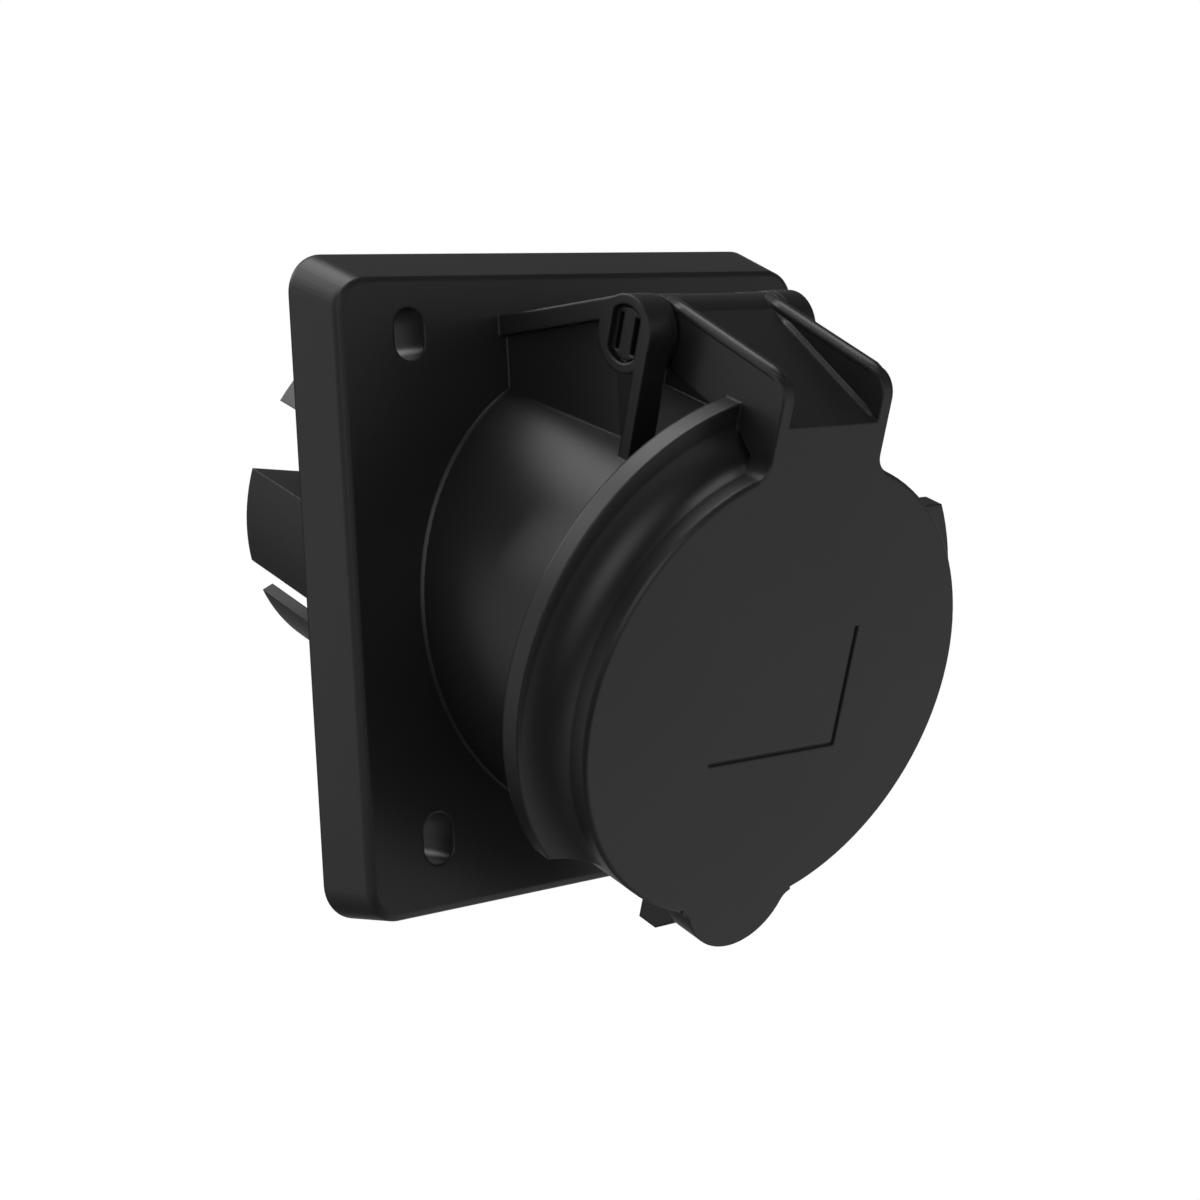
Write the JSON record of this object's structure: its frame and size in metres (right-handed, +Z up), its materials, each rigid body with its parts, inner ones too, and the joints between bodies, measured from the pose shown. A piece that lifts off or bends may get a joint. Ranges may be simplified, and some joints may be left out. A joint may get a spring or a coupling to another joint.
{
  "type": "inclined industrial panel socket outlet with hinged lid",
  "caption": "Round industrial power socket on a square panel flange, its barrel tilted downwards and closed by a spring-hinged lid.",
  "frame": {"origin": "centre of the fixing slots' pattern on the flange's back face", "axes": "+X to the right, +Y into the panel, +Z up; the lid and the barrel face -Y and 20 degrees down"},
  "size_m": [0.075, 0.0925, 0.0848],
  "materials": {
    "black_moulding": "satin moulded",
    "rubber": "matte",
    "brass": "turned",
    "steel": "bright zinc plate"
  },
  "bodies": {
    "base": {"housing": "black_moulding", "hinge_pin": "black_moulding", "lid_spring": "steel", "flange_gasket": "rubber", "contact_carrier": "black_moulding", "carrier_seal": "rubber", "terminal_carrier": "black_moulding", "carrier_screws": "steel", "contact_earth": "brass", "contact_l1": "brass", "contact_l2": "brass", "contact_l3": "brass", "contact_ring_earth": "steel", "contact_ring_l1": "steel", "contact_ring_l2": "steel", "contact_ring_l3": "steel", "clamp_cage_earth": "steel", "clamp_cage_l1": "steel", "clamp_cage_l2": "steel", "clamp_cage_l3": "steel", "terminal_screws": "steel"},
    "lid": {"lid": "black_moulding", "lid_seal": "rubber"}
  },
  "joints": [
    {"name": "lid_hinge", "type": "hinge", "parent": "base", "child": "lid", "pos_m": [0, -0.0317, 0.02843], "axis": [-1, 0, 0], "range_deg": [0, 170], "stiffness_Nm_per_rad": 0.02, "springref_deg": -57.3}
  ]
}
